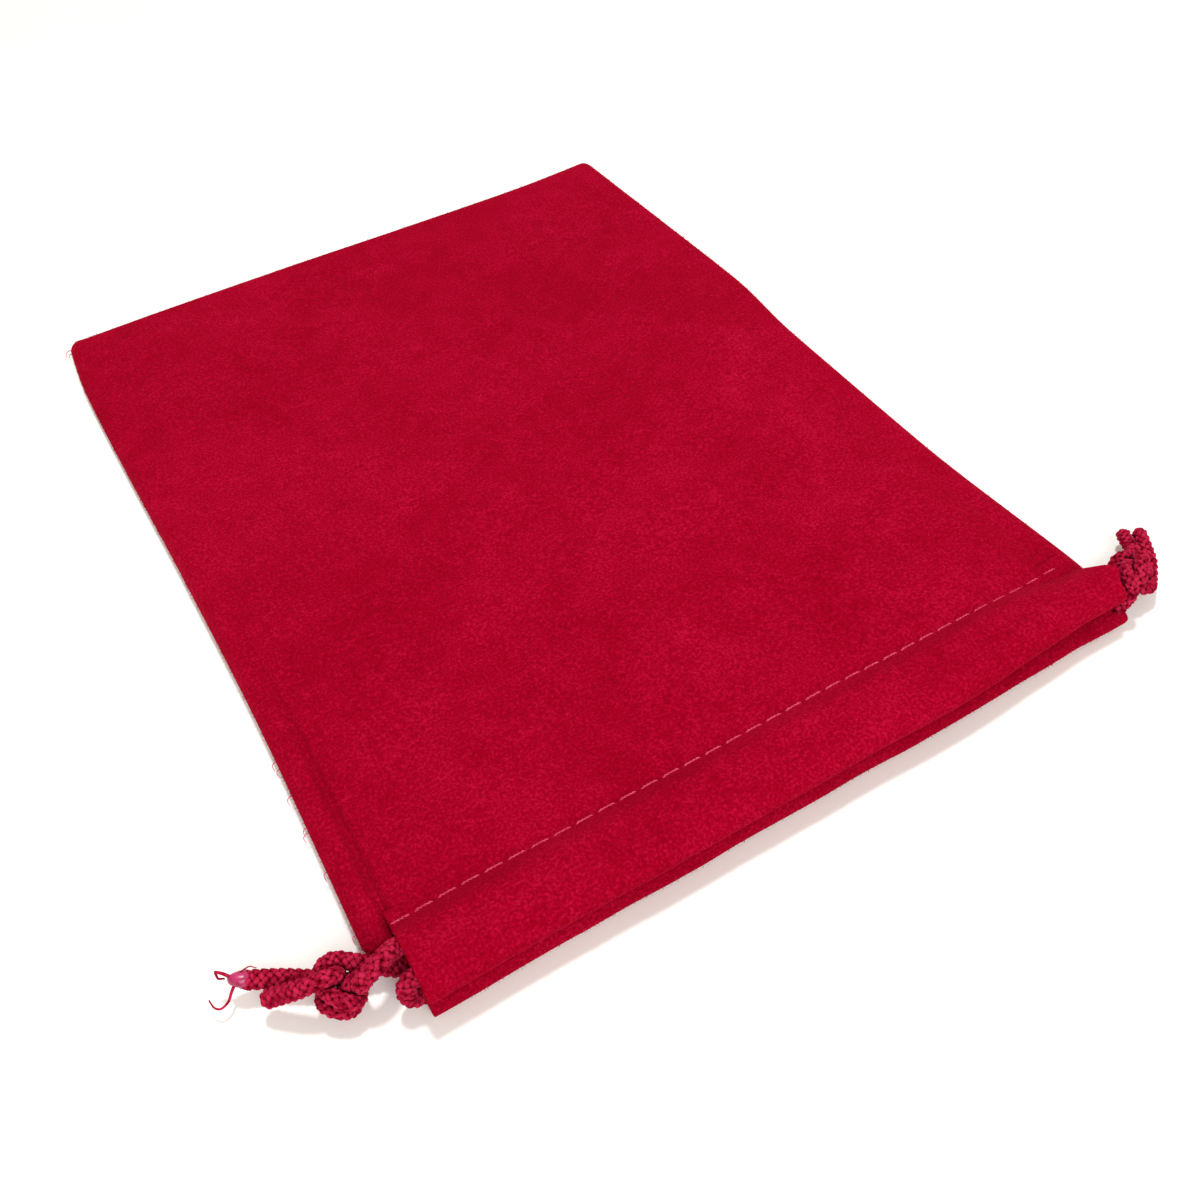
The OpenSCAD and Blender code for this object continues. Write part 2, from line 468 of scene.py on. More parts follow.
# %% Braid one cord
def braid(line, name):
    """Ten yarns laid over and under one another round a soft core, closed at both ends."""
    radius_at = squeezed(line)
    stops = fine_stops(line)
    line = spaced(line, stops)
    end_taper = np.sqrt(np.clip(np.minimum(stops, stops[-1] - stops) / 1.1, 0.02, 1))
    radius = radius_at(stops) * end_taper
    covered = soft_step((line[:, 0] - sleeve_left) / 3) * soft_step((sleeve_right - line[:, 0]) / 3)
    radius = radius * (1 - 0.16 * covered)
    _, side, up = directions(line)
    maker = Maker()
    maker.tube(line, side, up, radius * 0.6, radius * 0.6, sides=8)
    winding = 2 * math.pi / BRAID_PITCH * stops
    for way in (1, -1):
        swing = way * np.cos(YARNS * winding)
        for yarn in range(YARNS):
            angle = (2 * math.pi * yarn / YARNS + way * winding)[:, None]
            outward = np.cos(angle) * side + np.sin(angle) * up
            yarn_line = line + outward * (radius * (0.67 + 0.13 * swing))[:, None]
            across = unit(np.cross(unit(np.gradient(yarn_line, axis=0)), outward))
            maker.tube(yarn_line, across, outward, radius * 0.31, radius * 0.25)
    return maker.make(name)


left_cord = braid(left_line, "left_drawcord_braid")
right_cord = braid(right_line, "right_drawcord_braid")
print("braid points", len(left_cord.data.vertices), len(right_cord.data.vertices))
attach(left_cord, "left_pull")
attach(right_cord, "right_pull")
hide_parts("left_drawcord", "left_knot", "left_cord_tails")
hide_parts("right_drawcord", "right_knot", "right_cord_tails")

# %% [markdown]
# ## The lie of the cloth
#
# An empty pouch isn't a flat board. Its sides are rounded, where each seam was turned inside out,
# and they are highest near the mouth, where the cords hold the two halves apart. The turned seam
# edges inside press a soft ridge into the cloth, with a crease beside it. One function gives the
# height of the velvet anywhere on a half, so that stitches and pile can be laid on it as well.

# %% The outline of the bag as it lies
# The sides are given as Y and then X, from the closed end to the mouth, and the closed end as X and Y.
left_outline = smooth_line(
    [(closed_y, -63.7), (70, -64.8), (42, -64.3), (10, -63.4), (-30, -62.8), (-74, -63.4)], 200)
right_outline = smooth_line(
    [(closed_y, 63.7), (54, 64.7), (26, 65.2), (2, 63.6), (-36, 63.4), (-74, 64.9)], 200)
closed_outline = smooth_line(
    [(-63.5, 90.6), (-50, 90.6), (-15, 90), (14, 88.9), (44, 88.1), (63.5, 88.9)], 200)
CORNER = 2.6
LEFT_EAR_END = stitch_y - 2.4
RIGHT_EAR_END = stitch_y - 4.6


def lying_place(across, along):
    """Where a point of the flat pattern lies on the table, seen from above."""
    along = np.asarray(along, float)
    left = np.interp(-along, -left_outline[:, 0], left_outline[:, 1])
    right = np.interp(-along, -right_outline[:, 0], right_outline[:, 1])
    x = left + (across + half_width) / (2 * half_width) * (right - left)
    end = np.interp(across, closed_outline[:, 0], closed_outline[:, 1])
    y = along + (end - closed_y) * soft_step((along - 40) / (closed_y - 40))
    return x, y


def ear_end(across):
    """Where the corner beside the sleeve ends, on the left and on the right."""
    return np.where(np.asarray(across) < 0, LEFT_EAR_END, RIGHT_EAR_END)


def rounded(across, along, end, way):
    """Pattern places with the corners at one end of the bag rounded off; way is 1 or -1 along Y."""
    inner_x = half_width - CORNER
    inner_y = end - way * CORNER
    px = np.maximum(np.abs(across) - inner_x, 0)
    py = np.maximum((along - inner_y) * way, 0)
    far = np.hypot(px, py)
    shrink = np.where(far > 0, np.maximum(px, py) / np.maximum(far, 1e-9), 1)
    new_x = np.where((px > 0) & (py > 0), np.sign(across) * (inner_x + px * shrink), across)
    new_y = np.where((px > 0) & (py > 0), inner_y + way * py * shrink, along)
    return new_x, new_y


# %% The height of the cloth
def ripple(x, y, size, seed):
    """Gentle unevenness of a given size in millimetres, from -1 to 1."""
    x, y = np.broadcast_arrays(np.asarray(x, float), np.asarray(y, float))
    flat = [noise.noise(Vector((a / size, b / size, seed))) for a, b in zip(x.ravel(), y.ravel())]
    return np.array(flat).reshape(x.shape)


def seam_height(along):
    """Height of the side seams above the table, rising towards the mouth."""
    t = np.clip((closed_y - along) / (closed_y - stitch_y), 0, 1)
    return 1.6 + 1.3 * t**1.5


def crown_height(along):
    """Height of the top of the bag, away from its edges."""
    return 3.1 + 2.9 * soft_step((closed_y - along) / (closed_y - stitch_y))


def edge_distance(across, along):
    """Distance to the nearest folded edge of a half, in the flat pattern."""
    beyond_sleeve = (across < sleeve_left + 0.01) | (across > sleeve_right - 0.01)
    side = half_width - np.abs(across)
    ear = np.where(beyond_sleeve, along - ear_end(across), 99)
    return np.minimum(np.minimum(side, closed_y - along), ear)


def cloth_height(across, along, half):
    """Height of the velvet on the front half or the back half."""
    d = np.maximum(edge_distance(across, along), 0)
    roll = np.sqrt(1 - (1 - np.clip(d / 2.3, 0, 1)) ** 2)
    seam = seam_height(along)
    near_side = half_width - np.abs(across)
    inside = soft_step(d / 14)
    if half == "back":
        ground = 0.05 + 0.12 * inside * (1 + ripple(across, along, 24, 9.5))
        return seam + (ground - seam) * roll
    pinched = 0.5 * soft_step((20 - along) / 70)
    rise = (1 - pinched) * roll + pinched * soft_step(d / 15)
    height = seam + (crown_height(along) - seam) * rise
    height += inside * (0.75 * ripple(across, along, 46, 1.5) + 0.3 * ripple(across, along, 17, 4.5))
    height += 0.12 * ripple(across, along, 7, 7.5) * soft_step(d / 5)
    toward_mouth = soft_step((20 - along) / 70)
    strength = np.where(across < 0, 0.35 + 0.65 * toward_mouth, 0.3)
    crease_at = 3.6 + 1.2 * toward_mouth
    height -= 1.15 * strength * toward_mouth * np.exp(-(((near_side - crease_at) / 0.6) ** 2))
    height += 0.5 * strength * np.exp(-(((near_side - crease_at + 1.9) / 1.1) ** 2))
    to_stitch = along - stitch_y + 0.4
    height -= 0.45 * np.exp(-((to_stitch / 1.1) ** 2)) * soft_step(near_side / 6)
    height += 0.1 * np.cos(2 * math.pi * across / 3.6) * np.exp(-((to_stitch / 2.5) ** 2))
    return height


def cloth_place(across, along, half):
    """Points of one half of the bag, in millimetres."""
    across, along = np.broadcast_arrays(np.asarray(across, float), np.asarray(along, float))
    height = cloth_height(across, along, half)
    across, along = rounded(across, along, closed_y, 1)
    across, along = rounded(across, along, ear_end(across), -1)
    x, y = lying_place(across, along)
    return np.stack([x, y, height], -1)


# %% [markdown]
# ## The velvet strip
#
# The bag is one strip of velvet, so it is one sheet here too: front, fold, back, and the two
# sleeves rolled over at the mouth with their hems inside. A cloth simulation was not used. The
# bag lies still and nearly flat, and its shape comes from how it was sewn, so a sheet built
# row by row from the pattern holds the seams, ears and sleeve mouths where they are.

# %% Rows and columns of the pattern
def graded(start, stop, edge_steps, step):
    """Places from start to stop: fine ones near start, then evenly spaced ones."""
    fine = [start + s * math.copysign(1, stop - start) for s in edge_steps]
    rest = max(1, round(abs(stop - fine[-1]) / step))
    return fine + list(np.linspace(fine[-1], stop, rest + 1)[1:])


EDGE_STEPS = [0, 0.1, 0.4, 0.9, 1.5, 2.2, 3]
left_columns = [-half_width + s for s in EDGE_STEPS + [3.4, 3.75, 4.1]] + [sleeve_left]
right_columns = [sleeve_right] + [half_width - s for s in (1.5, 0.9, 0.4, 0.1, 0)]
crease_columns = [sleeve_left + s for s in (0.35, 0.7, 1.1, 1.6)]
middle_columns = crease_columns + list(np.linspace(sleeve_left + 2.4, sleeve_right, 100)[:-1])
columns = np.array(left_columns + middle_columns + right_columns)
mouth_rows = [stitch_y + s for s in (2.1, 1.3, 0.6, 0)]
rows = np.array(graded(closed_y, stitch_y + 3, EDGE_STEPS, 1.6) + mouth_rows)
ear_steps = np.array([0, 0.3, 0.6, 0.82, 0.95, 1])[:, None]
first_sleeve = len(left_columns) - 1
last_sleeve = len(left_columns) + len(middle_columns)
print("pattern", len(columns), "columns,", len(rows), "rows")

# %% The way each sleeve is rolled
front_roll = smooth_line([
    (stitch_y, 5.7), (stitch_y - 2.2, 7.6), (stitch_y - 4.6, 9.2), (stitch_y - 9.8, sleeve_top - 0.2),
    (mouth_y + 1.2, 8.7), (mouth_y + 0.1, 7.2), (mouth_y + 1.3, 5.7), (stitch_y - 9.8, 5.3),
    (stitch_y - 5, 5.2), (stitch_y - 1.2, 4.8), (stitch_y + 2.2, 4.6),
], 30)
back_roll = smooth_line([
    (stitch_y, 0.1), (stitch_y - 2.2, 0.02), (stitch_y - 5, 0.02), (stitch_y - 9.8, 0.05),
    (mouth_y + 1.8, 0.55), (mouth_y + 0.8, 2.1), (mouth_y + 1.9, 3.7), (stitch_y - 9.8, back_sleeve_top),
    (stitch_y - 5, back_sleeve_top), (stitch_y - 1.6, 2.7), (stitch_y + 2.2, 1.65),
], 30)


def sleeve_points(half):
    """The rolled sleeve of one half, a row for each step round the roll, in millimetres."""
    roll = front_roll if half == "front" else back_roll
    across = columns[first_sleeve:last_sleeve + 1]
    seam = cloth_place(across, stitch_y, half)
    points = np.zeros((len(roll), len(across), 3))
    for k, (y, z) in enumerate(roll):
        hold = math.exp(-(((y - stitch_y) / 2.5) ** 2)) if k < len(roll) / 2 else 0
        points[k, :, 0] = seam[:, 0]
        points[k, :, 1] = y + (seam[:, 1] - stitch_y) * hold
        points[k, :, 2] = z + (seam[:, 2] - roll[0, 1]) * hold
    lean = points[..., 0] / half_width
    around = np.arange(len(roll))[:, None] * 1.3
    loose = soft_step(np.arange(len(roll)) / 5)[:, None]
    wrinkle = 0.28 * ripple(points[..., 0], around, 9, 3.3)
    wrinkle = wrinkle + 0.35 * ripple(points[..., 0], around, 30, 6.1)
    outward = points[..., 1:] - np.array([stitch_y - 8, roll[:, 1].mean()])
    points[..., 1:] += unit(outward) * (wrinkle * loose)[..., None]
    reach = np.clip((stitch_y - points[..., 1]) / (stitch_y - mouth_y), 0, 1)
    drawn_back = 2.3 if half == "front" else 1.2
    points[..., 1] += drawn_back * soft_step((points[..., 0] - 25) / 38) * reach
    if half == "front":
        upper = (np.arange(len(roll)) < len(roll) / 2)[:, None]
        shoulder = np.exp(-(((points[..., 1] - stitch_y + 2.6) / 2.6) ** 2)) * upper
        drawn_out = np.exp(-(((points[..., 1] - stitch_y + 7.2) / 1.8) ** 2)) * upper
        points[..., 2] -= 2.0 * shoulder * soft_step((points[..., 0] - 44) / 17)
        points[..., 0] += (2.2 * drawn_out - 1.4 * shoulder) * soft_step((points[..., 0] - 54) / 7)
    else:
        points[..., 0] += 1.6 * soft_step((points[..., 0] - 55) / 6) * reach
    if half == "front":
        points[..., 2] += 0.3 * lean * loose
    else:
        points[..., 2] = np.maximum(points[..., 2] - 0.3 * lean * loose * (points[..., 2] > 2), 0.02)
    points[0] = seam
    return points


# %% Join the pieces of the pattern into one sheet
def grid_faces(tall, wide, flip):
    """Quads of a grid of points, turned over if flip is true."""
    faces = []
    for i in range(tall - 1):
        for j in range(wide - 1):
            a = i * wide + j
            face = (a, a + wide, a + wide + 1, a + 1)
            faces.append(face[::-1] if flip else face)
    return faces


def seam_columns(points, half):
    """Adds the sunk seam along both sides of a grid of rows: the rim lifts a little, then tucks in."""
    along = points[:, 0, 1]
    sunk = soft_step((closed_y + 1 - along) / 4) * soft_step((along - LEFT_EAR_END) / 2)
    lift = 0.25 if half == "front" else -0.25
    tuck_left, tuck_right = points[:, 0].copy(), points[:, -1].copy()
    tuck_left[:, 0] += 0.7 * sunk
    tuck_right[:, 0] -= 0.7 * sunk
    points[:, 0, 2] += lift * sunk
    points[:, -1, 2] += lift * sunk
    return np.concatenate([tuck_left[:, None], points, tuck_right[:, None]], 1)


def add_grid(maker, points, flip):
    """Adds a grid of points to a maker."""
    maker.add(points.reshape(-1, 3), grid_faces(points.shape[0], points.shape[1], flip))


def sew_the_cloth():
    """The whole velvet sheet, with points that meet joined into one."""
    maker = Maker()
    in_front = []
    for half in ("front", "back"):
        flip = half == "back"
        panel = cloth_place(columns[None], rows[:, None], half)
        add_grid(maker, seam_columns(panel, half), flip)
        left_rows = stitch_y + (LEFT_EAR_END - stitch_y) * ear_steps
        right_rows = stitch_y + (RIGHT_EAR_END - stitch_y) * ear_steps
        left_ear = cloth_place(columns[None, :first_sleeve + 1], left_rows, half)
        right_ear = cloth_place(columns[None, last_sleeve:], right_rows, half)
        add_grid(maker, seam_columns(left_ear, half)[:, :-1], flip)
        add_grid(maker, seam_columns(right_ear, half)[:, 1:], flip)
        add_grid(maker, sleeve_points(half), flip)
        in_front += [float(half == "front")] * (maker.count - len(in_front))
    cloth = maker.make("velvet_cloth")
    store(cloth, "front_half", np.array(in_front))
    sheet = bmesh.new()
    sheet.from_mesh(cloth.data)
    bmesh.ops.remove_doubles(sheet, verts=sheet.verts, dist=0.02 * MM)
    bmesh.ops.dissolve_degenerate(sheet, edges=sheet.edges, dist=0.005 * MM)
    sheet.to_mesh(cloth.data)
    sheet.free()
    return cloth


CLOTH_THICK = 0.75
cloth = sew_the_cloth()
print("velvet sheet", len(cloth.data.vertices), "points")


# %% Give it thickness and smooth it
def thicken(piece, thick, smooth_levels):
    """Real thickness towards the inside of the bag, and smooth rounded edges."""
    solid = piece.modifiers.new("thickness of the cloth", "SOLIDIFY")
    solid.thickness = thick * MM
    solid.offset = -1
    smooth = piece.modifiers.new("soft edges", "SUBSURF")
    smooth.levels = smooth.render_levels = smooth_levels
    return piece


thicken(cloth, CLOTH_THICK, 1)
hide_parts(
    "back_panel", "front_panel", "closed_end_fold", "left_side_fold", "right_side_fold",
    "back_channel", "front_channel",
)

# %% [markdown]
# ## Inside the side seams
#
# The two halves were sewn face to face and turned out, so along each side the two raw edges lie
# inside the bag, one on the other. They show when the mouth opens. Each is a narrow strip of the
# same velvet, a little wavy where it was cut, with the lockstitch of the seam running down it.

# %% The turned-in edges of one side
ALLOWANCE_WIDE = 6
LAYER_APART = 0.36
LOWEST_LAYER = 1.2
ALLOWANCE_THICK = 0.6
allowance_rows = np.linspace(closed_y - 4, stitch_y - 0.5, 60)


def layer_height(along, layer):
    """Height of the lower (-1) or upper (1) raw edge, which rests on the back half."""
    return np.maximum(seam_height(along) + layer * LAYER_APART, LOWEST_LAYER + CLOTH_THICK * (layer > 0))


def allowance(name, side):
    """Both raw edges along one side seam: side is -1 for the left and 1 for the right."""
    maker = Maker()
    share = np.linspace(0, 1, 7)
    for layer in (-1, 1):
        wander = 0.35 * ripple(allowance_rows, layer * 5.0, 11, side * 3.5)
        wide = ALLOWANCE_WIDE - 0.3 * (layer > 0) + wander
        inset = 1.3 + share[None] * wide[:, None]
        across = side * (half_width - inset)
        x, y = lying_place(across, allowance_rows[:, None] + 0 * across)
        height = layer_height(allowance_rows, layer)[:, None] + 0 * across
        points = np.stack([x, y, height], -1)
        add_grid(maker, points, flip=(side > 0) == (layer > 0))
    strip = maker.make(name)
    thicken(strip, ALLOWANCE_THICK, 1)
    strip.modifiers["thickness of the cloth"].offset = 0
    return strip


left_allowance = allowance("left_seam_edges", -1)
right_allowance = allowance("right_seam_edges", 1)
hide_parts("left_seam_allowance")
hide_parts("right_seam_allowance")

# %% [markdown]
# ## Sewing thread
#
# The seams are machine lockstitch in a polyester thread that catches the light more than the
# velvet does, so it reads as a row of pale dashes. Between two stitches the thread dives through
# the cloth. Each dash is two plies twisted together, laid on the finished surface of the cloth
# by casting a ray down to it, and pulled a little below the pile at both ends.

# %% Find the finished surface
def surface_of(piece):
    """A tree of a piece's finished faces, in metres, to cast rays at."""
    bpy.context.view_layer.update()
    return BVHTree.FromObject(piece, bpy.context.evaluated_depsgraph_get())


velvet_surface = surface_of(cloth)


def touch(place, toward):
    """Where a ray in millimetres first meets the velvet, and the surface's direction there."""
    hit, face_out, _, _ = velvet_surface.ray_cast(Vector(place) * MM, Vector(toward))
    if hit is None:
        return None, None
    return np.array(hit) / MM, np.array(face_out)


# %% One stitch of two-ply thread
STITCH = 3.6
STITCH_SHOWS = 3.0
PLY = 0.13


def add_stitch(maker, ends, outward):
    """Two plies twisted round the line of one stitch, which dips under the pile at both ends."""
    share = np.linspace(0, 1, 11)
    line = ends[0] + (ends[1] - ends[0]) * share[:, None]
    line = line + outward * (0.1 - 0.5 * np.abs(2 * share - 1)[:, None] ** 10)
    _, side, up = directions(line)
    for ply in (0, math.pi):
        twist = (share * 2.5 * math.pi * 2 + ply)[:, None]
        around = np.cos(twist) * side + np.sin(twist) * up
        maker.tube(line + around * PLY * 0.8, side, up, PLY, PLY)


def mouth_stitching(name, half):
    """The row of stitches that closes one sleeve."""
    maker = Maker()
    above = 20 if half == "front" else -20
    down = (0, 0, -math.copysign(1, above))
    row_y = stitch_y - 0.4
    ear_slope = 0.5 if half == "front" else 0
    for start in np.arange(-half_width + 1.2, half_width - 3, STITCH):
        wobble = 0.12 * math.sin(start * 1.7) + 0.1 * math.sin(start * 0.23)
        ends = []
        for x in (start, start + STITCH_SHOWS):
            y = row_y + wobble - ear_slope * max(sleeve_left - x, 0)
            hit, _ = touch((x, y, above), down)
            if hit is not None:
                ends.append(hit)
        if len(ends) == 2:
            over_middle = ((ends[0] + ends[1]) / 2) * (1, 1, 0) + (0, 0, above)
            _, out = touch(over_middle, down)
            sunk = 0.05 + 0.16 * soft_step((start - 25) / 30)
            add_stitch(maker, np.array(ends) - out * sunk, out)
    return maker.make(name)


front_stitching = mouth_stitching("front_channel_thread", "front")
back_stitching = mouth_stitching("back_channel_thread", "back")
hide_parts("front_channel_stitching")
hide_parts("back_channel_stitching")


# %% The lockstitch down each side seam
def side_stitching(name, side):
    """Stitches above and below the turned-in edges of one side seam."""
    maker = Maker()
    for start in np.arange(stitch_y + 1, closed_y - 8, STITCH):
        for layer in (-1, 1):
            along = np.array([start, start + STITCH_SHOWS]) + (STITCH / 2) * (layer < 0)
            x, y = lying_place(np.full(2, side * (half_width - 2.1)), along)
            z = layer_height(along, layer) + layer * ALLOWANCE_THICK / 2
            add_stitch(maker, np.stack([x, y, z], 1), np.array([0, 0, float(layer)]))
    return maker.make(name)


left_stitching = side_stitching("left_seam_thread", -1)
right_stitching = side_stitching("right_seam_thread", 1)
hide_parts("left_seam_stitching")
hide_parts("right_seam_stitching")
print("stitches", sum(len(p.data.vertices) for p in (front_stitching, back_stitching)) // 132)

# %% [markdown]
# ## Pile and loose ends
#
# Flocked velvet is a woven backing with short fibres standing in glue all over it. Against a
# pale table the fibres soften every outline, and that is most of what says velvet. Hair strands
# would be lost in the exported mesh, so the fibres along the edges are small closed spikes.

# %% Pile fibres along the outline
dice = random.Random(11)


def add_fibre(maker, root, toward, long, wide):
    """One pile fibre, a spike with a slight bend."""
    line = np.array([root - toward * 0.1, root + toward * long * 0.55, root + toward * long])
    line[2] += np.array([dice.uniform(-1, 1) for _ in range(3)]) * long * 0.25
    _, side, up = directions(line)
    thick = np.array([1, 0.8, 0.15]) * wide
    maker.tube(line, side, up, thick, thick, sides=4)


def fibres_from(maker, count, where, toward, long):
    """Casts rays at the velvet from outside, and stands a fibre on each place that they meet."""
    for _ in range(count):
        hit, out = touch(where(), toward)
        if hit is None:
            continue
        lean = np.array([dice.uniform(-0.5, 0.5) for _ in range(3)])
        add_fibre(maker, hit, unit(out + lean), dice.uniform(0.6, 1.1) * long, 0.035)


def beside(x):
    """A random place beyond one side of the bag, at the height of its edge."""
    return lambda: (x, dice.uniform(LEFT_EAR_END, 88), dice.uniform(1.0, 3.4))


def beyond(y, reach, heights):
    """A random place beyond the closed end or the mouth, within a reach across and two heights."""
    return lambda: (dice.uniform(*reach), y, dice.uniform(*heights))


pile = Maker()
fibres_from(pile, 900, beside(-90), (1, 0, 0), 0.42)
fibres_from(pile, 900, beside(90), (-1, 0, 0), 0.42)
fibres_from(pile, 600, beyond(120, (-63, 63), (0.8, 3)), (0, -1, 0), 0.36)
fibres_from(pile, 900, beyond(-120, (-59, 62), (5.6, 9)), (0, 1, 0), 0.34)
fibres_from(pile, 700, beyond(-120, (-59, 62), (0.4, 4)), (0, 1, 0), 0.34)
pile_fibres = pile.make("velvet_pile_fibres")
print("pile points", len(pile_fibres.data.vertices))


# %% Ravelled threads at the seam and the closed corner
def add_strand(maker, places, wide):
    """A loose fine thread through the places, tapering to its free end."""
    line = smooth_line(places, 26)
    _, side, up = directions(line)
    taper = wide * np.linspace(1, 0.45, len(line))
    maker.tube(line, side, up, taper, taper, sides=5)


ravel = Maker()
add_strand(ravel, [(-63.2, 88.4, 1.7), (-64.1, 88.7, 1.9), (-64.8, 88.5, 1.6), (-65.2, 87.9, 1)], 0.13)
add_strand(ravel, [(-63.3, 87.8, 1.5), (-64.2, 87.5, 1.7), (-64.7, 86.9, 1.3)], 0.11)
left_edge_ravels = [
    (-38.6, 0.7), (-40.2, 0.5), (-45.8, 0.8), (-52.4, 0.6), (-53.3, 0.9), (-61, 0.5), (-72.4, 0.5)]
for y, reach in left_edge_ravels:
    height = float(seam_height(y))
    edge_x = float(lying_place(-half_width, y)[0])
    add_strand(ravel, [
        (edge_x + 0.5, y, height), (edge_x - 0.3, y - 0.2, height + 0.2),
        (edge_x - reach, y - 0.5, height - 0.1), (edge_x - reach * 0.9, y - 1.1, height - 0.6),
    ], 0.09)
ravelled = ravel.make("ravelled_seam_threads")

# %% [markdown]
# ## The melted end
#
# A cut cord frays at once, so its end is held in a flame until the rayon runs together. On the
# longest tail this left a glossy, lighter bead, with a few filaments that escaped and curled.

# %% A bead of melted cord with curled filaments
def melted_end(name, line):
    """A smooth lumpy cap over the first end of a cord's line, leaning the way the cord runs."""
    maker = Maker()
    outward = unit(line[0] - line[12])
    stops = np.linspace(0, 1, 16)
    bead = line[0] + outward * (stops[:, None] * 3.4 - 2.3)
    bead[:, 2] += 0.35 + 0.3 * stops
    _, side, up = directions(bead)
    profile = 1.32 * np.sqrt(np.clip(1 - (2 * stops - 1) ** 2, 0.004, 1)) * (1 - 0.12 * stops)
    maker.tube(bead, side, up, profile, profile * 0.86, sides=14)
    cap = maker.make(name)
    smooth = cap.modifiers.new("run together", "SUBSURF")
    smooth.levels = smooth.render_levels = 1
    for vertex in cap.data.vertices:
        lump = noise.noise(vertex.co / MM * 0.9) * 0.22 * MM
        vertex.co += vertex.normal * lump
    return cap


def curled_filaments(name, places_of):
    """A few loose filaments of the cord."""
    maker = Maker()
    for places, wide in places_of:
        add_strand(maker, places, wide)
    return maker.make(name)


tip = left_line[0]
left_melted = melted_end("left_cord_melted_end", left_line)
left_filaments = curled_filaments("left_cord_filaments", [
    ([tip + s for s in (
        (-0.3, -0.2, 0), (-1.1, -0.7, -0.6), (-2.2, -1.7, -1.1), (-3.2, -1.9, -1.3), (-4, -1.2, -1.2),
        (-4.2, -0.1, -0.9))], 0.26),
    ([tip + s for s in (
        (-0.2, 0.2, 0.6), (-1, 1, 1.4), (-1.9, 1.7, 1.8), (-2, 1.2, 0.9), (-1.2, 0.8, 0.6))], 0.3),
    ([tip + s for s in ((0.9, 0.2, 1.3), (2.2, 0.2, 1.5), (3, -0.1, 0.8))], 0.13),
])
for piece in (left_melted, left_filaments):
    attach(piece, "left_pull")

# %% [markdown]
# ## Moving with the cords
#
# The model that moves has three joints: the front half of the mouth lifts, and each knot pulls
# out to its side. Cloth can't follow those as a rigid panel does. The sewn sides would hold the
# mouth down, so a share of the lift is worked out, greatest in the middle and nothing at the
# seams, but it is not stored, and the cloth does not lift with the mouth. A pulled cord drags the
# far end of both sleeves towards itself, and the spare cloth stands up in pleats. Each point of
# the cloth stores how far it goes along with each cord, and a short node tree reads how far the
# cords have slid, so the same mesh is right at rest and at every pull between.

# %% How much each point takes part
PLEATS = 7
PLEAT_RISE = 0.13


def mouth_share(points):
    """0 at the closed end and 1 at the mouth."""
    return soft_step((closed_y - points[:, 1]) / (closed_y - stitch_y))


cloth_front = np.zeros(len(cloth.data.vertices))
cloth.data.attributes["front_half"].data.foreach_get("value", cloth_front)
cloth_near = KDTree(len(cloth_front))
for number, vertex in enumerate(cloth.data.vertices):
    cloth_near.insert(vertex.co, number)
cloth_near.balance()


def front_half(points):
    """1 for points on the front half of the bag and 0 for the back, as the nearest cloth is."""
    return np.array([cloth_front[cloth_near.find(Vector(p) * MM)[1]] for p in points])


def lift_share(points):
    """How far each point goes with the lifting half: most in the middle, nothing at the seams."""
    across = np.clip(points[:, 0] / half_width, -1, 1)
    return (1 - across**2) * front_half(points)


def pleat_push(points):
    """How far, and which way, each point moves for each metre that the mouth is drawn in."""
    across = np.clip(points[:, 0] / half_width, -1, 1)
    wave = 0.5 - 0.5 * np.cos(2 * math.pi * PLEATS * (across + 1) / 2)
    calm = 1 - np.abs(across) ** 6
    front = front_half(points) > 0.5
    rise = np.zeros_like(points)
    share = mouth_share(points) ** 2
    rise[:, 2] = np.where(front, 1, 0) * share
    in_sleeve = points[:, 1] < stitch_y - 0.5
    centre = np.stack([
        np.full(len(points), mouth_y + 7.5), np.where(front, front_height, back_height + 0.3)], 1)
    outward = unit(points[:, 1:] - centre)
    rolled = np.stack([outward[:, 0] * 0.6, np.maximum(outward[:, 1], 0)], 1)
    rise[in_sleeve, 1:] = rolled[in_sleeve]
    return rise * (wave * calm * PLEAT_RISE)[:, None]


# %% One small function that adds a node
def hex_colour(text):
    """An sRGB hex value as the linear colour that shaders work in."""
    parts = [int(text[i:i + 2], 16) / 255 for i in (1, 3, 5)]
    return [p / 12.92 if p <= 0.04045 else ((p + 0.055) / 1.055) ** 2.4 for p in parts] + [1]


def add_node(tree, kind, settings=None, inputs=None, stops=()):
    """A node with its settings, its inputs (a value, or an output to link), and its colour stops."""
    node = tree.nodes.new(kind)
    for name, value in (settings or {}).items():
        setattr(node, name, value)
    for key, value in (inputs or {}).items():
        if isinstance(value, bpy.types.NodeSocket):
            tree.links.new(value, node.inputs[key])
        else:
            node.inputs[key].default_value = value
    for index, (place, colour) in enumerate(stops):
        ramp = node.color_ramp.elements
        stop = ramp[index] if index < 2 else ramp.new(place)
        stop.position = place
        stop.color = hex_colour(colour)
    return node


# %% The node tree that gathers the cloth
def geometry_tree(name):
    """An empty tree with geometry in and geometry out."""
    tree = bpy.data.node_groups.new(name, "GeometryNodeTree")
    tree.interface.new_socket("Geometry", in_out="INPUT", socket_type="NodeSocketGeometry")
    tree.interface.new_socket("Geometry", in_out="OUTPUT", socket_type="NodeSocketGeometry")
    return tree, tree.nodes.new("NodeGroupInput"), tree.nodes.new("NodeGroupOutput")


def slide_of(tree, body):
    """How far a body has slid along X, as a node output."""
    where = add_node(tree, "GeometryNodeObjectInfo", inputs={"Object": frame["bodies"][body]})
    return add_node(tree, "ShaderNodeSeparateXYZ", inputs={0: where.outputs["Location"]}).outputs["X"]


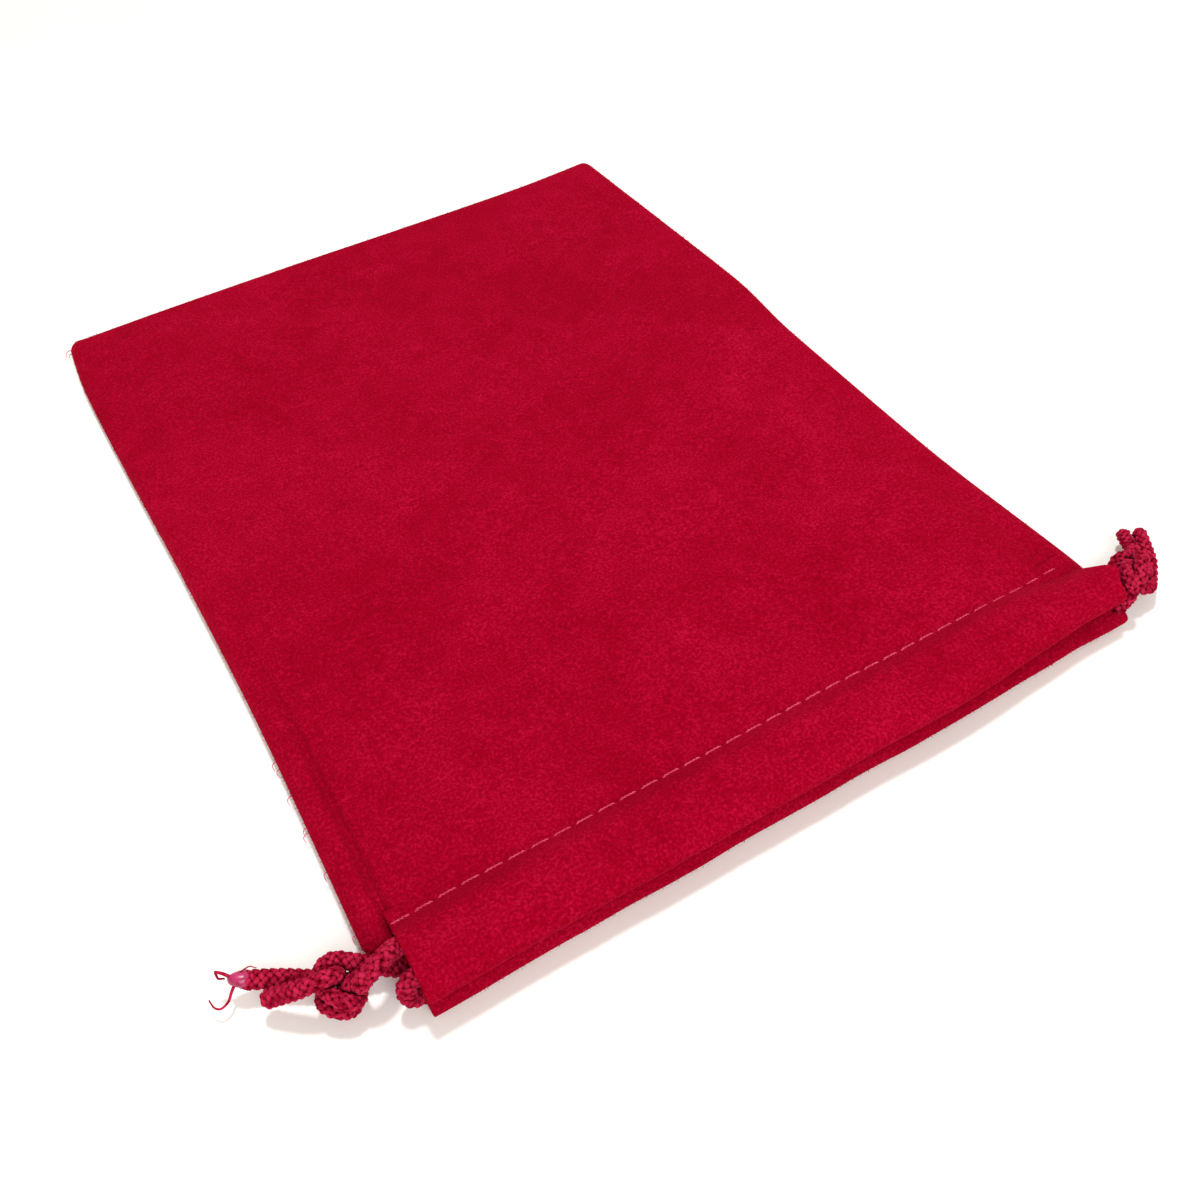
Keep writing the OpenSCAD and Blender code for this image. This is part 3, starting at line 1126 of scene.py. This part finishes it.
def gathering_tree():
    """Moves each stored point along with the two cords, and raises the pleats."""
    tree, start, end = geometry_tree("gathered by the cords")
    left, right = slide_of(tree, "left_pull"), slide_of(tree, "right_pull")
    taken = add_node(tree, "ShaderNodeMath", {"operation": "SUBTRACT"}, {0: right, 1: left}).outputs[0]
    stored = {}
    for name, kind in (("with_left", "FLOAT"), ("with_right", "FLOAT"), ("pleat", "FLOAT_VECTOR")):
        stored[name] = add_node(
            tree, "GeometryNodeInputNamedAttribute", {"data_type": kind}, {"Name": name}).outputs[0]
    by_left = add_node(
        tree, "ShaderNodeMath", {"operation": "MULTIPLY"}, {0: stored["with_left"], 1: left})
    by_both = add_node(
        tree, "ShaderNodeMath", {"operation": "MULTIPLY_ADD"},
        {0: stored["with_right"], 1: right, 2: by_left.outputs[0]},
    )
    sideways = add_node(tree, "ShaderNodeCombineXYZ", inputs={"X": by_both.outputs[0]})
    moved = add_node(
        tree, "ShaderNodeVectorMath", {"operation": "MULTIPLY_ADD"},
        {0: stored["pleat"], 1: taken, 2: sideways.outputs[0]},
    )
    shift = add_node(
        tree, "GeometryNodeSetPosition",
        inputs={"Geometry": start.outputs[0], "Offset": moved.outputs[0]},
    )
    tree.links.new(shift.outputs[0], end.inputs[0])
    return tree


GATHER = gathering_tree()


def goes_with_cloth(piece):
    """Gathers a piece with the cords and raises its pleats; its share of the mouth's lift is worked out
    but not stored.
    """
    points = points_of(piece)
    across = np.clip(points[:, 0] / half_width, -1.05, 1.05)
    share = mouth_share(points)
    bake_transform(piece)
    lift = lift_share(points)
    store(piece, "with_left", share * (1 + across) / 2)
    store(piece, "with_right", share * (1 - across) / 2)
    store(piece, "pleat", pleat_push(points))
    gather = piece.modifiers.new("gathered by the cords", "NODES")
    gather.node_group = GATHER
    piece.modifiers.move(len(piece.modifiers) - 1, 0)


for piece in (cloth, front_stitching, back_stitching, pile_fibres, left_allowance, right_allowance,
              left_stitching, right_stitching, ravelled):
    goes_with_cloth(piece)
print("pieces that follow the cloth ready")

# %% [markdown]
# A cord can't simply bend with the cloth, because it slides through it. So its front run asks,
# at every pose, where it has slid to, and lifts with the front of the mouth there, most in the
# middle and nothing at the ends. Where the mouth has drawn back from it, the bare run of cord
# sinks to the table under its own weight.

# %% The node tree that keeps a cord in its sleeve
FALL_OVER = 9 * MM


def sliding_tree(name, own):
    """Lifts a sliding cord with the front sleeve, and lets it fall where it lies bare."""
    tree, start, end = geometry_tree(name)
    left, right = slide_of(tree, "left_pull"), slide_of(tree, "right_pull")
    drawn = add_node(
        tree, "ShaderNodeMath", {"operation": "SUBTRACT"}, {0: right, 1: left}).outputs[0]
    half_drawn = add_node(
        tree, "ShaderNodeMath", {"operation": "MULTIPLY"}, {0: drawn, 1: 0.5}).outputs[0]
    half_mouth = add_node(
        tree, "ShaderNodeMath", {"operation": "SUBTRACT"}, {0: half_width * MM, 1: half_drawn}).outputs[0]
    place = tree.nodes.new("GeometryNodeInputPosition").outputs[0]
    x = add_node(tree, "ShaderNodeSeparateXYZ", inputs={0: place}).outputs["X"]
    way = "SUBTRACT" if own == "left_pull" else "ADD"
    from_middle = add_node(
        tree, "ShaderNodeMath", {"operation": way}, {0: x, 1: half_drawn}).outputs[0]
    across = add_node(
        tree, "ShaderNodeMath", {"operation": "DIVIDE"}, {0: from_middle, 1: half_mouth}).outputs[0]
    squared = add_node(
        tree, "ShaderNodeMath", {"operation": "MULTIPLY"}, {0: across, 1: across}).outputs[0]
    bump = add_node(
        tree, "ShaderNodeMath", {"operation": "SUBTRACT", "use_clamp": True},
        {0: 1.0, 1: squared}).outputs[0]
    front = add_node(
        tree, "GeometryNodeInputNamedAttribute", {"data_type": "FLOAT"},
        {"Name": "front_run"}).outputs[0]
    share = add_node(
        tree, "ShaderNodeMath", {"operation": "MULTIPLY"}, {0: bump, 1: front}).outputs[0]
    mouth = add_node(tree, "GeometryNodeObjectInfo", inputs={"Object": frame["bodies"]["front_mouth"]})
    lifted = add_node(
        tree, "FunctionNodeTransformPoint",
        inputs={"Vector": place, "Transform": mouth.outputs["Transform"]}).outputs[0]
    lift = add_node(
        tree, "ShaderNodeVectorMath", {"operation": "SUBTRACT"}, {0: lifted, 1: place}).outputs[0]
    distance = add_node(
        tree, "ShaderNodeMath", {"operation": "ABSOLUTE"}, {0: from_middle}).outputs[0]
    outside = add_node(
        tree, "ShaderNodeMath", {"operation": "SUBTRACT"}, {0: distance, 1: half_mouth}).outputs[0]
    falling = add_node(
        tree, "ShaderNodeMapRange", {"interpolation_type": "SMOOTHSTEP"},
        {"Value": outside, "From Min": 0.0, "From Max": FALL_OVER},
    ).outputs[0]
    can_fall = add_node(
        tree, "GeometryNodeInputNamedAttribute", {"data_type": "FLOAT"}, {"Name": "can_fall"}).outputs[0]
    fallen = add_node(
        tree, "ShaderNodeMath", {"operation": "MULTIPLY"}, {0: falling, 1: can_fall}).outputs[0]
    down = add_node(tree, "ShaderNodeCombineXYZ", inputs={"Z": fallen}).outputs[0]
    moved = add_node(
        tree, "ShaderNodeVectorMath", {"operation": "MULTIPLY_ADD"}, {0: lift, 1: share, 2: down})
    shift = add_node(
        tree, "GeometryNodeSetPosition",
        inputs={"Geometry": start.outputs[0], "Offset": moved.outputs[0]})
    tree.links.new(shift.outputs[0], end.inputs[0])
    return tree


# %% Let both cords slide
def slides_in_sleeve(piece, own, exit_x):
    """Stores which points are in the front run and how far they may fall, and adds the tree."""
    points = points_of(piece)
    front = soft_step((points[:, 2] - 4) / 1.6)
    in_loop = (np.abs(points[:, 0]) < abs(exit_x) + 6) & (points[:, 1] < stitch_y - 1.5)
    inward = (exit_x - points[:, 0]) * math.copysign(1, exit_x)
    store(piece, "front_run", front * in_loop)
    store(piece, "can_fall", -front * in_loop * soft_step(inward / 8) * (front_height - 1.5) * MM)
    slide = piece.modifiers.new("slides in its sleeve", "NODES")
    slide.node_group = sliding_tree(f"{own} sliding", own)


slides_in_sleeve(left_cord, "left_pull", sleeve_left)
slides_in_sleeve(right_cord, "right_pull", sleeve_right)

# %% [markdown]
# ## Materials
#
# Three finishes make the whole bag: flocked velvet, rayon braid and polyester thread. None of
# them is a flat colour. Velvet is dull straight on, glows where its fibres are seen from the
# side, and is mottled because a touch lays the fibres over. All colours are sRGB hex values.

# %% A shader with its surface connected
def new_material(name):
    """A material with an empty tree, and its output node."""
    material = bpy.data.materials.new(name)
    material.use_nodes = True
    tree = material.node_tree
    tree.nodes.clear()
    return material, tree, add_node(tree, "ShaderNodeOutputMaterial")


def per_metre(millimetres):
    """Scale of a noise pattern whose features are this far apart."""
    return 1 / (millimetres * MM)


# %% Flocked velvet
# Short rayon fibres in glue on a woven backing, dyed crimson. Fibres that stand up swallow light
# and look deep, and those that are pressed over look lighter and pinker. A fibre is 0.02 mm wide,
# far too fine to show, so the speckle is drawn at 0.45 mm, about the size of a tuft of them.
def flocked_velvet(name="crimson flocked velvet", deep="#700011", bright="#B41038", glow="#FF2048"):
    material, tree, output = new_material(name)
    place = add_node(tree, "ShaderNodeTexCoord").outputs["Object"]
    stroked = add_node(tree, "ShaderNodeTexNoise", None, {
        "Vector": place, "Scale": per_metre(30), "Detail": 3.0, "Roughness": 0.55, "Distortion": 0.6})
    touched = add_node(tree, "ShaderNodeTexNoise", None, {
        "Vector": place, "Scale": per_metre(4.5), "Detail": 3.0, "Roughness": 0.6})
    tufts = add_node(tree, "ShaderNodeTexNoise", None, {
        "Vector": place, "Scale": per_metre(0.45), "Detail": 2.0, "Roughness": 0.65})
    broad = add_node(tree, "ShaderNodeMath", {"operation": "MULTIPLY_ADD"}, {
        0: stroked.outputs["Fac"], 1: 0.3, 2: -0.12})
    middle = add_node(tree, "ShaderNodeMath", {"operation": "MULTIPLY_ADD"}, {
        0: touched.outputs["Fac"], 1: 0.22, 2: broad.outputs[0]})
    mottle = add_node(tree, "ShaderNodeMath", {"operation": "MULTIPLY_ADD"}, {
        0: tufts.outputs["Fac"], 1: 0.95, 2: middle.outputs[0]})
    colour = add_node(tree, "ShaderNodeValToRGB", None, {"Fac": mottle.outputs[0]}, [
        (0.3, deep), (0.62, "#90001D"), (0.95, bright)])
    pile = add_node(tree, "ShaderNodeBump", None, {
        "Height": tufts.outputs["Fac"], "Strength": 0.55, "Distance": 0.25 * MM})
    nap = add_node(tree, "ShaderNodeBump", None, {
        "Height": touched.outputs["Fac"], "Strength": 0.35, "Distance": 0.6 * MM,
        "Normal": pile.outputs[0]})
    velvet = add_node(tree, "ShaderNodeBsdfPrincipled", None, {
        "Base Color": colour.outputs[0], "Normal": nap.outputs[0], "Roughness": 0.95,
        "Specular IOR Level": 0.02, "Sheen Weight": 0.25, "Sheen Roughness": 0.45,
        "Sheen Tint": hex_colour(glow)})
    tree.links.new(velvet.outputs[0], output.inputs["Surface"])
    return material


# %% Braided rayon
# A yarn is a bundle of fine bright filaments, so its shine breaks up into a pink haze along its
# back. Where it dives under the next it is painted nearly black, a painted shade taken from ambient
# occlusion. The haze is made with sheen alone: a mirror-like shine would give each loop a grey rim.
# The filaments are drawn 0.12 mm apart.
def braided_rayon(name="crimson rayon cord"):
    material, tree, output = new_material(name)
    place = add_node(tree, "ShaderNodeTexCoord").outputs["Object"]
    shade = add_node(tree, "ShaderNodeTexNoise", None, {
        "Vector": place, "Scale": per_metre(1.1), "Detail": 2.0})
    filaments = add_node(tree, "ShaderNodeTexNoise", None, {
        "Vector": place, "Scale": per_metre(0.12), "Detail": 1.0})
    # Painted shade: ambient occlusion darkens the yarn colour in the gaps where one yarn dives under the
    # next.
    painted_gap_shade = add_node(tree, "ShaderNodeAmbientOcclusion", {"samples": 4}, {"Distance": 0.5 * MM})
    tone_with_painted_shade = add_node(tree, "ShaderNodeMath", {"operation": "MULTIPLY"}, {
        0: painted_gap_shade.outputs["AO"], 1: shade.outputs["Fac"]})
    # The darkest stop is the painted shade in the gaps; the lighter stops are the yarn's own random tone.
    colour = add_node(tree, "ShaderNodeValToRGB", None, {"Fac": tone_with_painted_shade.outputs[0]}, [
        (0.12, "#260006"), (0.34, "#820620"), (0.6, "#BC2448")])
    strands = add_node(tree, "ShaderNodeBump", None, {
        "Height": filaments.outputs["Fac"], "Strength": 0.4, "Distance": 0.06 * MM})
    rayon = add_node(tree, "ShaderNodeBsdfPrincipled", None, {
        "Base Color": colour.outputs[0], "Normal": strands.outputs[0], "Roughness": 0.38,
        "Specular IOR Level": 0.0,
        "Sheen Weight": 0.35, "Sheen Roughness": 0.3, "Sheen Tint": hex_colour("#FF5A88")})
    tree.links.new(rayon.outputs[0], output.inputs["Surface"])
    return material


# %% Melted rayon
# The same rayon run together in a flame: glossy, lighter, and a little see-through like candle wax.
def melted_rayon(name="melted rayon"):
    material, tree, output = new_material(name)
    place = add_node(tree, "ShaderNodeTexCoord").outputs["Object"]
    cloudy = add_node(tree, "ShaderNodeTexNoise", None, {
        "Vector": place, "Scale": per_metre(1.4), "Detail": 2.0})
    colour = add_node(tree, "ShaderNodeValToRGB", None, {"Fac": cloudy.outputs["Fac"]}, [
        (0.3, "#8C0C3C"), (0.55, "#B42A62"), (0.8, "#C6467A")])
    melted = add_node(tree, "ShaderNodeBsdfPrincipled", None, {
        "Base Color": colour.outputs[0], "Roughness": 0.3, "Subsurface Weight": 0.3,
        "Subsurface Radius": (0.001, 0.0003, 0.0004), "Subsurface Scale": 0.6})
    tree.links.new(melted.outputs[0], output.inputs["Surface"])
    return material


# %% Polyester thread
# Two plies of filament polyester, smooth and lighter than the velvet, with a soft shine.
def polyester_thread(name="pink-red polyester thread"):
    material, tree, output = new_material(name)
    place = add_node(tree, "ShaderNodeTexCoord").outputs["Object"]
    twist = add_node(tree, "ShaderNodeTexNoise", None, {
        "Vector": place, "Scale": per_metre(0.4), "Detail": 1.0})
    colour = add_node(tree, "ShaderNodeValToRGB", None, {"Fac": twist.outputs["Fac"]}, [
        (0.3, "#B41A40"), (0.7, "#D84A6E")])
    thread = add_node(tree, "ShaderNodeBsdfPrincipled", None, {
        "Base Color": colour.outputs[0], "Roughness": 0.45, "Specular Tint": hex_colour("#FFB0C0")})
    tree.links.new(thread.outputs[0], output.inputs["Surface"])
    return material


# %% Dress the pieces
velvet_cloth = flocked_velvet()
rayon_cord = braided_rayon()
rayon_bead = melted_rayon()
sewing_thread = polyester_thread()
for piece in (cloth, left_allowance, right_allowance, pile_fibres):
    piece.data.materials.append(velvet_cloth)
for piece in (left_cord, right_cord, left_filaments):
    piece.data.materials.append(rayon_cord)
left_melted.data.materials.append(rayon_bead)
for piece in (front_stitching, back_stitching, left_stitching, right_stitching, ravelled):
    piece.data.materials.append(sewing_thread)

# %% [markdown]
# ## Table and light
#
# The table is matt white board, bright enough to lose its edges. A small soft box hangs high over
# the bag, so what shadow there is stays short. A large one in front of the mouth and a bright white
# room fill it until it is pale.

# %% White table
def white_board(name="matt white board"):
    material, tree, output = new_material(name)
    place = add_node(tree, "ShaderNodeTexCoord").outputs["Object"]
    tone = add_node(tree, "ShaderNodeTexNoise", None, {
        "Vector": place, "Scale": per_metre(60), "Detail": 2.0})
    colour = add_node(tree, "ShaderNodeValToRGB", None, {"Fac": tone.outputs["Fac"]}, [
        (0.3, "#F6F4F0"), (0.7, "#FAF9F6")])
    board = add_node(tree, "ShaderNodeBsdfPrincipled", None, {
        "Base Color": colour.outputs[0], "Roughness": 0.9, "Specular IOR Level": 0.1})
    tree.links.new(board.outputs[0], output.inputs["Surface"])
    return material


table = Maker()
TABLE_HALF = 2500
table.add(
    [(-TABLE_HALF, -TABLE_HALF, -0.02), (TABLE_HALF, -TABLE_HALF, -0.02),
     (TABLE_HALF, TABLE_HALF, -0.02), (-TABLE_HALF, TABLE_HALF, -0.02)],
    [(0, 1, 2, 3)],
)
table_top = table.make("table_top")
table_top.data.materials.append(white_board())

# %% Soft studio light
def soft_light(name, place, aim, size, power, colour="#FFFFFF"):
    """A square soft box at a place, turned to the aim, in millimetres and watts."""
    lamp = bpy.data.lights.new(name, "AREA")
    lamp.size = size * MM
    lamp.energy = power
    lamp.color = hex_colour(colour)[:3]
    box = bpy.data.objects.new(name, lamp)
    box.location = Vector(place) * MM
    box.rotation_mode = "QUATERNION"
    box.rotation_quaternion = (Vector(aim) - Vector(place)).to_track_quat("-Z", "Y")
    bpy.context.scene.collection.objects.link(box)
    return box


soft_light("key soft box", (40, 50, 640), (0, -10, 0), 70, 2.4)
soft_light("front soft box", (-100, -700, 560), (0, -60, 0), 500, 4.6)
room = bpy.data.worlds.new("white room")
room.use_nodes = True
room.node_tree.nodes["Background"].inputs["Color"].default_value = hex_colour("#FFF9F2")
room.node_tree.nodes["Background"].inputs["Strength"].default_value = 0.55
bpy.context.scene.world = room
bpy.context.scene.view_settings.view_transform = "Standard"
